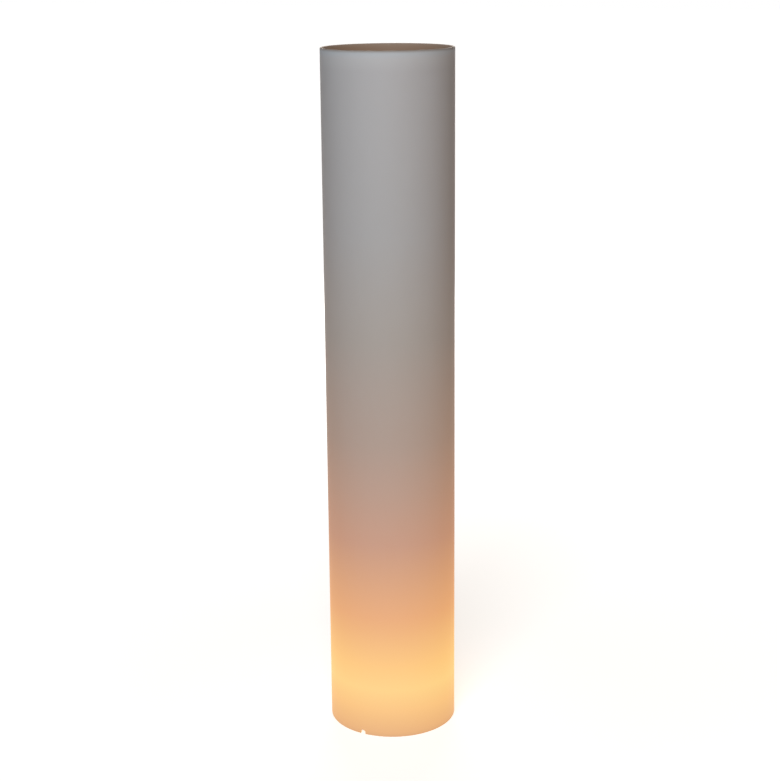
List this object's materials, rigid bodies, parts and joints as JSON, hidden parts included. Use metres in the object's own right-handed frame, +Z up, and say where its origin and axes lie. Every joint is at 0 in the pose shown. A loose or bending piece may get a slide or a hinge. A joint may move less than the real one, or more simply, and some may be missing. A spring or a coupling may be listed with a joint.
{
  "type": "column floor lamp",
  "caption": "Floor lamp: an open opal tube standing over a low weighted base with a lampholder, wiring under a dished cover, and a screw-in bulb.",
  "frame": {"origin": "on the floor, on the axis of the shade tube", "axes": "+Z up along the tube, -Y towards the cord notch in its bottom edge"},
  "size_m": [0.1999, 0.2, 1.065],
  "materials": {
    "opal_acrylic": "satin opal, seen lit from inside at its lower end",
    "white_powder_coat": "fine satin powder coat",
    "zinc_plated_steel": "bright zinc plate",
    "black_rubber": "matt moulded",
    "porcelain": "clear glaze",
    "nickel_brass": "stamped, bright",
    "polyamide": "natural moulded",
    "brown_insulation": "soft PVC",
    "blue_insulation": "soft PVC",
    "green_yellow_insulation": "soft PVC, green with a yellow stripe",
    "frosted_glass": "frosted inside, lit",
    "cap_aluminium": "rolled thread, bright",
    "black_glass": "glossy",
    "solder": "dull tin",
    "clear_glass": "clear",
    "support_wire": "drawn",
    "tungsten": "glowing coil"
  },
  "bodies": {
    "base": {"base_plate": "white_powder_coat", "rubber_feet": "black_rubber", "foot_screws": "zinc_plated_steel", "cord_grommet": "black_rubber", "terminal_block": "polyamide", "terminal_inserts": "nickel_brass", "terminal_screws": "zinc_plated_steel", "block_screws": "zinc_plated_steel", "holder_bracket": "zinc_plated_steel", "bracket_screws": "zinc_plated_steel", "holder_screws": "zinc_plated_steel", "holder_body": "porcelain", "holder_shell": "nickel_brass", "centre_contact": "nickel_brass", "side_contact": "nickel_brass", "holder_terminal_screws": "zinc_plated_steel", "live_wire": "brown_insulation", "neutral_wire": "blue_insulation", "earth_wire": "green_yellow_insulation", "earth_lug": "zinc_plated_steel", "earth_screw": "zinc_plated_steel", "wiring_cover": "white_powder_coat", "cover_screws": "zinc_plated_steel"},
    "shade": {"shade_tube": "opal_acrylic"},
    "bulb_tip": {"bulb_insulator": "black_glass", "bulb_contact": "solder"},
    "bulb": {"bulb_cap": "cap_aluminium", "bulb_glass": "frosted_glass", "bulb_stem": "clear_glass", "bulb_leads": "support_wire", "bulb_filament": "tungsten"}
  },
  "joints": [
    {"name": "shade_lift", "type": "slide", "parent": "base", "child": "shade", "axis": [0, 0, 1], "range_m": [0, 0.13]},
    {"name": "bulb_rise", "type": "slide", "parent": "base", "child": "bulb_tip", "axis": [0, 0, 1], "range_m": [0, 0.018]},
    {"name": "bulb_turn", "type": "hinge", "parent": "bulb_tip", "child": "bulb", "pos_m": [0, 0, 0.06], "axis": [0, 0, 1], "range_deg": [0, 1800]}
  ],
  "couplings": [
    {"joint": "bulb_rise", "follows": "bulb_turn", "m_per_rad": 0.00057295}
  ]
}
